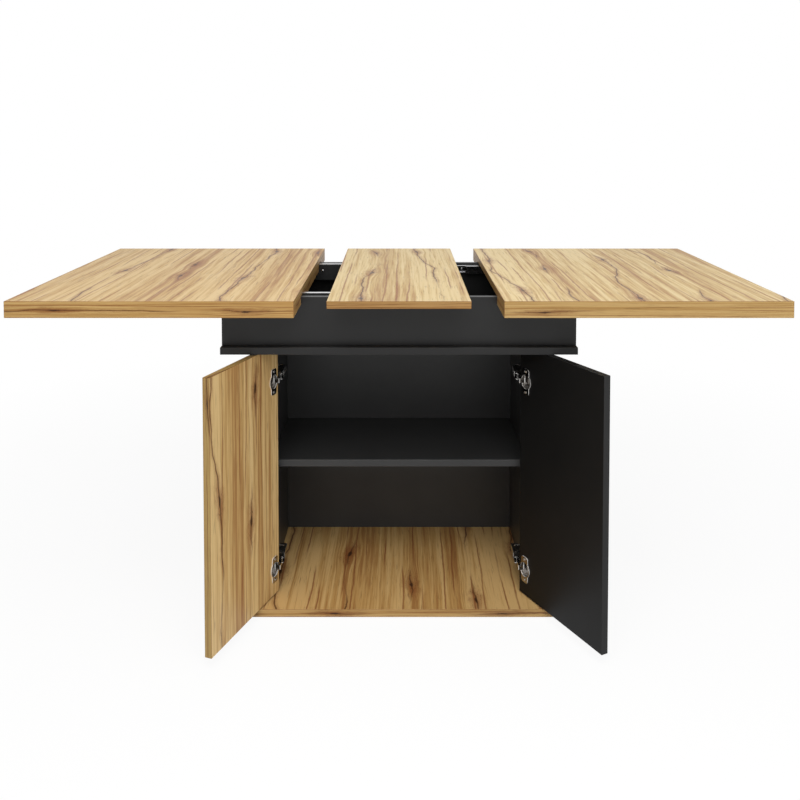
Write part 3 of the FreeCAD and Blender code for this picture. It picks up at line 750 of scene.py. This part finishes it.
def makeCageTree():
    # perforated strips with a row of balls in their holes, centred on the points
    tree, given, made = newGeometryTree("ballCages", {
        "Geometry": "Geometry", "Length": "Float", "Width": "Float", "Thickness": "Float",
        "Pitch": "Float", "Ball": "Float", "Clearance": "Float",
        "Strip Material": "Material", "Ball Material": "Material"})
    get = given.outputs
    room = calc(tree, "SUBTRACT", get["Length"], get["Pitch"])
    count = calc(tree, "FLOOR", calc(tree, "DIVIDE", room, get["Pitch"]))
    span = times(tree, calc(tree, "SUBTRACT", count, 1.0), get["Pitch"])
    row = shape(tree, "GeometryNodeMeshLine", {
        "Count": count, "Start Location": trio(tree, times(tree, span, -0.5)),
        "Offset": trio(tree, get["Pitch"])})

    def alongRow(mesh):
        return realized(tree, shape(tree, "GeometryNodeInstanceOnPoints", {
            "Points": row, "Instance": mesh}))

    ball = shape(tree, "GeometryNodeMeshIcoSphere", {
        "Radius": get["Ball"], "Subdivisions": cageForm["ballSubdivisions"]})
    smooth = shape(tree, "GeometryNodeSetShadeSmooth", {"Geometry": ball})
    punch = shape(tree, "GeometryNodeMeshCylinder", {
        "Vertices": cageForm["holeSides"], "Depth": get["Width"],
        "Radius": calc(tree, "ADD", get["Ball"], get["Clearance"])})
    strip = shape(tree, "GeometryNodeMeshCube", {
        "Size": trio(tree, get["Length"], get["Width"], get["Thickness"])})
    cage = dressed(tree, carved(tree, strip, alongRow(punch)), get["Strip Material"])
    balls = dressed(tree, alongRow(smooth), get["Ball Material"])
    placed = shape(tree, "GeometryNodeInstanceOnPoints", {
        "Points": get["Geometry"], "Instance": joined(tree, (cage, balls))})
    feed(tree, made.inputs["Geometry"], realized(tree, placed))
    return tree


def growFrom(name, points, turns, tree, values):
    # a plain mesh of what the tree makes on the points; turns are Euler angles, one to a point
    cloud = bpy.data.meshes.new(name + ".points")
    cloud.from_pydata(points, [], [])
    turn = cloud.attributes.new("turn", "FLOAT_VECTOR", "POINT")
    for datum, angles in zip(turn.data, turns):
        datum.vector = angles
    seedling = bpy.data.objects.new(name + ".points", cloud)
    bpy.context.scene.collection.objects.link(seedling)
    modifier = seedling.modifiers.new(tree.name, "NODES")
    modifier.node_group = tree
    for item in tree.interface.items_tree:
        if item.in_out == "INPUT" and item.name in values:
            modifier[item.identifier] = values[item.name]
    seen = seedling.evaluated_get(bpy.context.evaluated_depsgraph_get())
    mesh = bpy.data.meshes.new_from_object(seen)
    seedling.modifiers.remove(modifier)
    bpy.data.objects.remove(seedling)
    bpy.data.meshes.remove(cloud)
    mesh.name = name
    grown = bpy.data.objects.new(name, mesh)
    bpy.context.scene.collection.objects.link(grown)
    return grown


def solidsOf(nodeName, weld=0.00001):  # the corner points of each separate solid of a node
    node = nodes[nodeName]
    mesh = bmesh.new()
    mesh.from_mesh(node.data)
    bmesh.ops.remove_doubles(mesh, verts=mesh.verts, dist=weld)
    mesh.verts.ensure_lookup_table()
    seen, solids = set(), []
    for start in mesh.verts:
        if start.index in seen:
            continue
        seen.add(start.index)
        waiting, found = [start], []
        while waiting:
            corner = waiting.pop()
            found.append(node.matrix_world @ corner.co)
            for link in corner.link_edges:
                other = link.other_vert(corner)
                if other.index not in seen:
                    seen.add(other.index)
                    waiting.append(other)
        solids.append(numpy.array([tuple(point) for point in found]))
    mesh.free()
    return solids


bodyOf = {}
for body, members in frame["record"]["behaviour"]["bodies"].items():
    bodyOf.update({name: body for name in members})


# screws

screwHeads = {
    "hinge_screws": {"dome": 0.35, "recess": 0.16, "depth": 0.30, "faces": "x"},
    "hinge_fixings": {"dome": 0.05, "recess": 0.20, "depth": 0.09, "faces": "x"},
    "bearer_screws": {"dome": 0.60, "recess": 0.16, "depth": 0.55, "faces": "y"},
    "slide_screws": {"dome": 0.55, "recess": 0.17, "depth": 0.60, "faces": "y"},
}  # dome and depth are shares of the length, recess of the diameter; faces is the way the heads look
screwSeeds = {"left": 3, "right": 4}


def screwPlace(corners, faces):
    # underside centre, turn, radius and length of one screw, measured on its own axis
    middle = (corners.min(axis=0) + corners.max(axis=0)) / 2
    spread, ways = numpy.linalg.eigh(numpy.cov((corners - middle).T))
    odd = 0 if abs(spread[1] - spread[0]) > abs(spread[2] - spread[1]) else 2
    way = ways[:, odd]
    towards = {"x": (-middle[0], 0.0, 0.0), "y": (0.0, -middle[1], 0.0)}[faces]
    if numpy.dot(way, towards) < 0:
        way = -way
    heights = (corners - middle) @ way
    radius = max(numpy.linalg.norm((corners - middle) - numpy.outer(heights, way), axis=1))
    base = middle + way * heights.min()
    turn = Vector(way).to_track_quat("Z", "Y").to_euler()
    return tuple(base), tuple(turn), float(radius), float(heights.max() - heights.min())


def makeScrews(side, kind, tree):
    name = side + "_" + kind
    look = screwHeads[kind]
    places = [screwPlace(corners, look["faces"]) for corners in solidsOf(name)]
    bases, turns, radii, lengths = zip(*places)
    radius, length = radii[0], lengths[0]
    made = growFrom(name + "_crossed", bases, turns, tree, {
        "Radius": radius, "Length": length, "Dome": length * look["dome"],
        "Recess": 2 * radius * look["recess"], "Depth": length * look["depth"],
        "Seed": screwSeeds[side],
        "Material": finishes["brightNickel" if "hinge" in kind else "zincSteel"]})
    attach(made, bodyOf[name])
    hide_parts(name)


screwTree = makeScrewTree()
for side in screwSeeds:
    for kind in screwHeads:
        makeScrews(side, kind, screwTree)
print("screws made")


# ball cages of the slides

def makeCages(side, tree):
    name = side + "_slide_ball_cages"
    solids = solidsOf(name)
    low, high = solids[0].min(axis=0), solids[0].max(axis=0)
    middles = [tuple((corners.min(axis=0) + corners.max(axis=0)) / 2) for corners in solids]
    made = growFrom(name + "_filled", middles, [(0.0, 0.0, 0.0)] * len(middles), tree, {
        "Length": float(high[0] - low[0]), "Width": float(high[1] - low[1]),
        "Thickness": cageForm["thickness"], "Pitch": cageForm["pitch"],
        "Ball": float(high[2] - low[2]) / 2, "Clearance": cageForm["clearance"],
        "Strip Material": finishes["zincSteel"], "Ball Material": finishes["brightNickel"]})
    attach(made, bodyOf[name])
    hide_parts(name)


cageTree = makeCageTree()
for side in ("left", "right"):
    makeCages(side, cageTree)
print("ball cages made")


# floor, world and lamps

studio = {
    "floor": 40.0,  # half the floor's width, in metres
    "floorDrop": 0.0005,  # how far the floor lies below the glides, in metres
    "floorColour": (0.92, 0.92, 0.92),
    "floorGlow": 0.92,  # share of plain white in what the camera sees of the floor
    "shadowEnds": 1.1,  # metres from the middle at which the floor starts to turn plain white
    "plainFrom": 2.2,  # where it is all white, in multiples of that
    "worldLevel": 0.12,
}
lamps = {
    "key": {"place": (0.0, -2.6, 3.0), "aim": (0.0, 0.0, 0.45), "size": 3.0, "power": 128.0},
    "top": {"place": (0.0, 0.2, 3.6), "aim": (0.0, 0.0, 0.50), "size": 3.4, "power": 56.0},
    "side": {"place": (3.0, -2.2, 0.8), "aim": (-0.3, -0.3, 0.40), "size": 1.8, "power": 32.0},
}


def seenDirectly(tree):  # 1 for camera, glossy and transmission rays
    path = addNode(tree, "ShaderNodeLightPath")
    seen = calc(tree, "MAXIMUM", path.outputs["Is Camera Ray"], path.outputs["Is Glossy Ray"])
    return calc(tree, "MAXIMUM", seen, path.outputs["Is Transmission Ray"])


def makeFloor():
    mesh = bpy.data.meshes.new("floor")
    half = studio["floor"]
    mesh.from_pydata([(-half, -half, 0), (half, -half, 0), (half, half, 0), (-half, half, 0)],
                     [], [(0, 1, 2, 3)])
    floor = bpy.data.objects.new("floor", mesh)
    floor.location.z = -studio["floorDrop"]
    bpy.context.scene.collection.objects.link(floor)
    material = bpy.data.materials.new("floorWhite")
    material.use_nodes = True
    tree = material.node_tree
    tree.nodes.clear()
    matt = addNode(tree, "ShaderNodeBsdfDiffuse", None, {"Color": opaque(studio["floorColour"])})
    glow = addNode(tree, "ShaderNodeEmission", None, {"Strength": 1.0})
    spot = addNode(tree, "ShaderNodeTexCoord")
    away = addNode(tree, "ShaderNodeVectorMath", {"operation": "LENGTH"}, {0: spot.outputs["Object"]})
    start = studio["shadowEnds"]
    plain = fade(tree, away.outputs["Value"], start, start * studio["plainFrom"], studio["floorGlow"], 1.0)
    both = addNode(tree, "ShaderNodeMixShader", None, {
        0: times(tree, seenDirectly(tree), plain), 1: matt.outputs[0], 2: glow.outputs[0]})
    addNode(tree, "ShaderNodeOutputMaterial", None, {"Surface": both.outputs[0]})
    mesh.materials.append(material)


def makeWorld():
    world = bpy.data.worlds.new("studio")
    world.use_nodes = True
    bpy.context.scene.world = world
    tree = world.node_tree
    background = tree.nodes["Background"]
    background.inputs["Color"].default_value = (1.0, 1.0, 1.0, 1.0)
    level = fade(tree, seenDirectly(tree), 0.0, 1.0, studio["worldLevel"], 1.0)
    tree.links.new(level, background.inputs["Strength"])


def makeLamp(name, lamp):
    data = bpy.data.lights.new(name, "AREA")
    data.size = lamp["size"]
    data.energy = lamp["power"]
    made = bpy.data.objects.new(name, data)
    made.location = lamp["place"]
    way = Vector(lamp["aim"]) - Vector(lamp["place"])
    made.rotation_euler = way.to_track_quat("-Z", "Y").to_euler()
    made.visible_glossy = False
    bpy.context.scene.collection.objects.link(made)


makeFloor()
makeWorld()
for lampName, lampSetting in lamps.items():
    makeLamp(lampName, lampSetting)
bpy.context.scene.view_settings.view_transform = "Standard"
print("studio lit")
